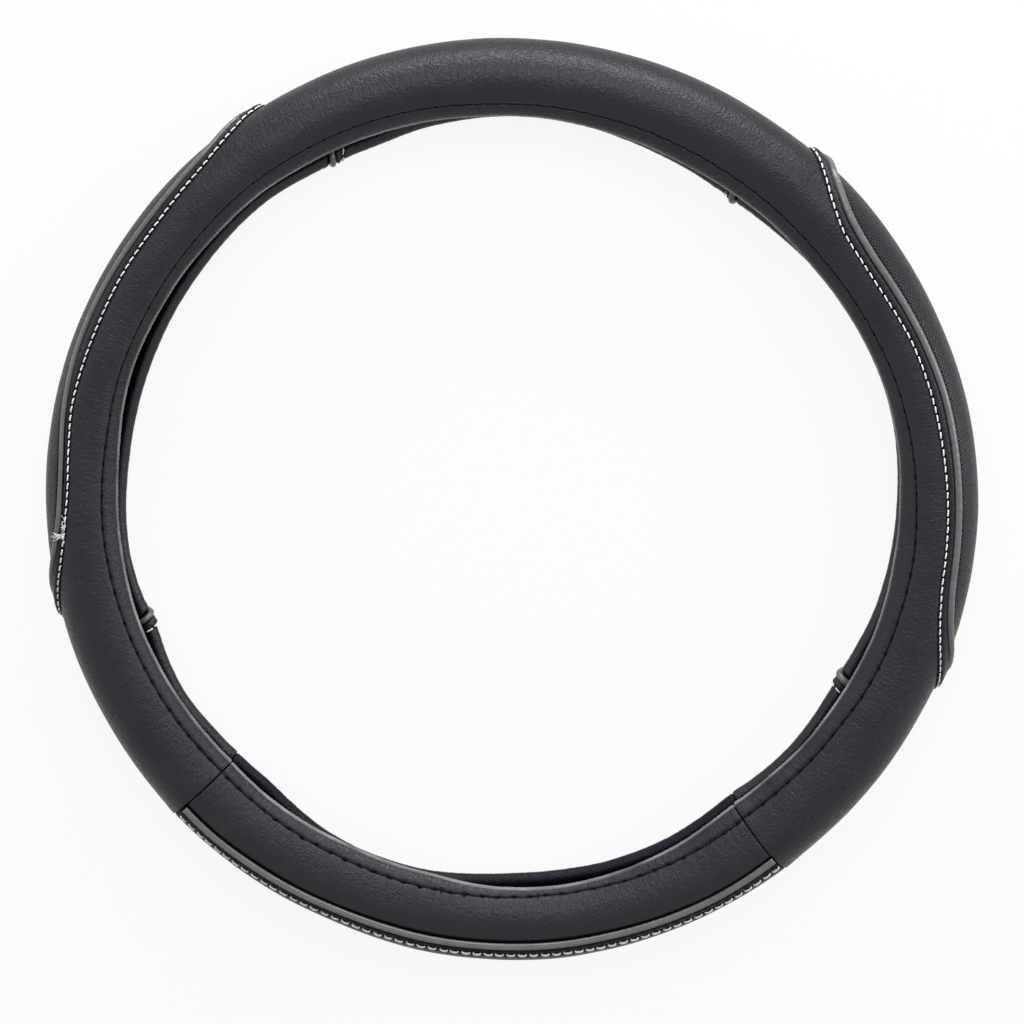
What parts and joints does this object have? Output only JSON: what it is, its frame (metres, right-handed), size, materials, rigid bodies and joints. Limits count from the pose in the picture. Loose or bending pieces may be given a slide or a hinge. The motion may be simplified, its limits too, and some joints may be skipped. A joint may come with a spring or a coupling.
{
  "type": "steering wheel cover",
  "caption": "Sewn leather cover for a steering wheel rim, a ring of open C section with piped grip panels and a rubber inner ring.",
  "frame": {"origin": "on the surface that the cover lies on, under the wheel's centre", "axes": "+Z along the wheel's axis towards the driver, +Y towards the top of the wheel, +X towards the driver's right"},
  "size_m": [0.3848, 0.3858, 0.0368],
  "materials": {
    "rubber": "matt moulded",
    "smooth_leather": "fine grain with a soft sheen",
    "grip_leather": "dimpled",
    "grey_piping": "soft sheen",
    "white_thread": "twisted thread",
    "black_thread": "twisted thread"
  },
  "bodies": {
    "root": {"inner_ring": "rubber", "main_panel": "smooth_leather", "left_grip_panel": "grip_leather", "right_grip_panel": "grip_leather", "bottom_front_panel": "smooth_leather", "bottom_rear_panel": "smooth_leather", "left_grip_piping": "grey_piping", "right_grip_piping": "grey_piping", "bottom_piping": "grey_piping", "left_grip_topstitch": "white_thread", "right_grip_topstitch": "white_thread", "bottom_topstitch": "white_thread", "front_hem_stitch": "black_thread", "rear_hem_stitch": "black_thread"}
  },
  "joints": []
}
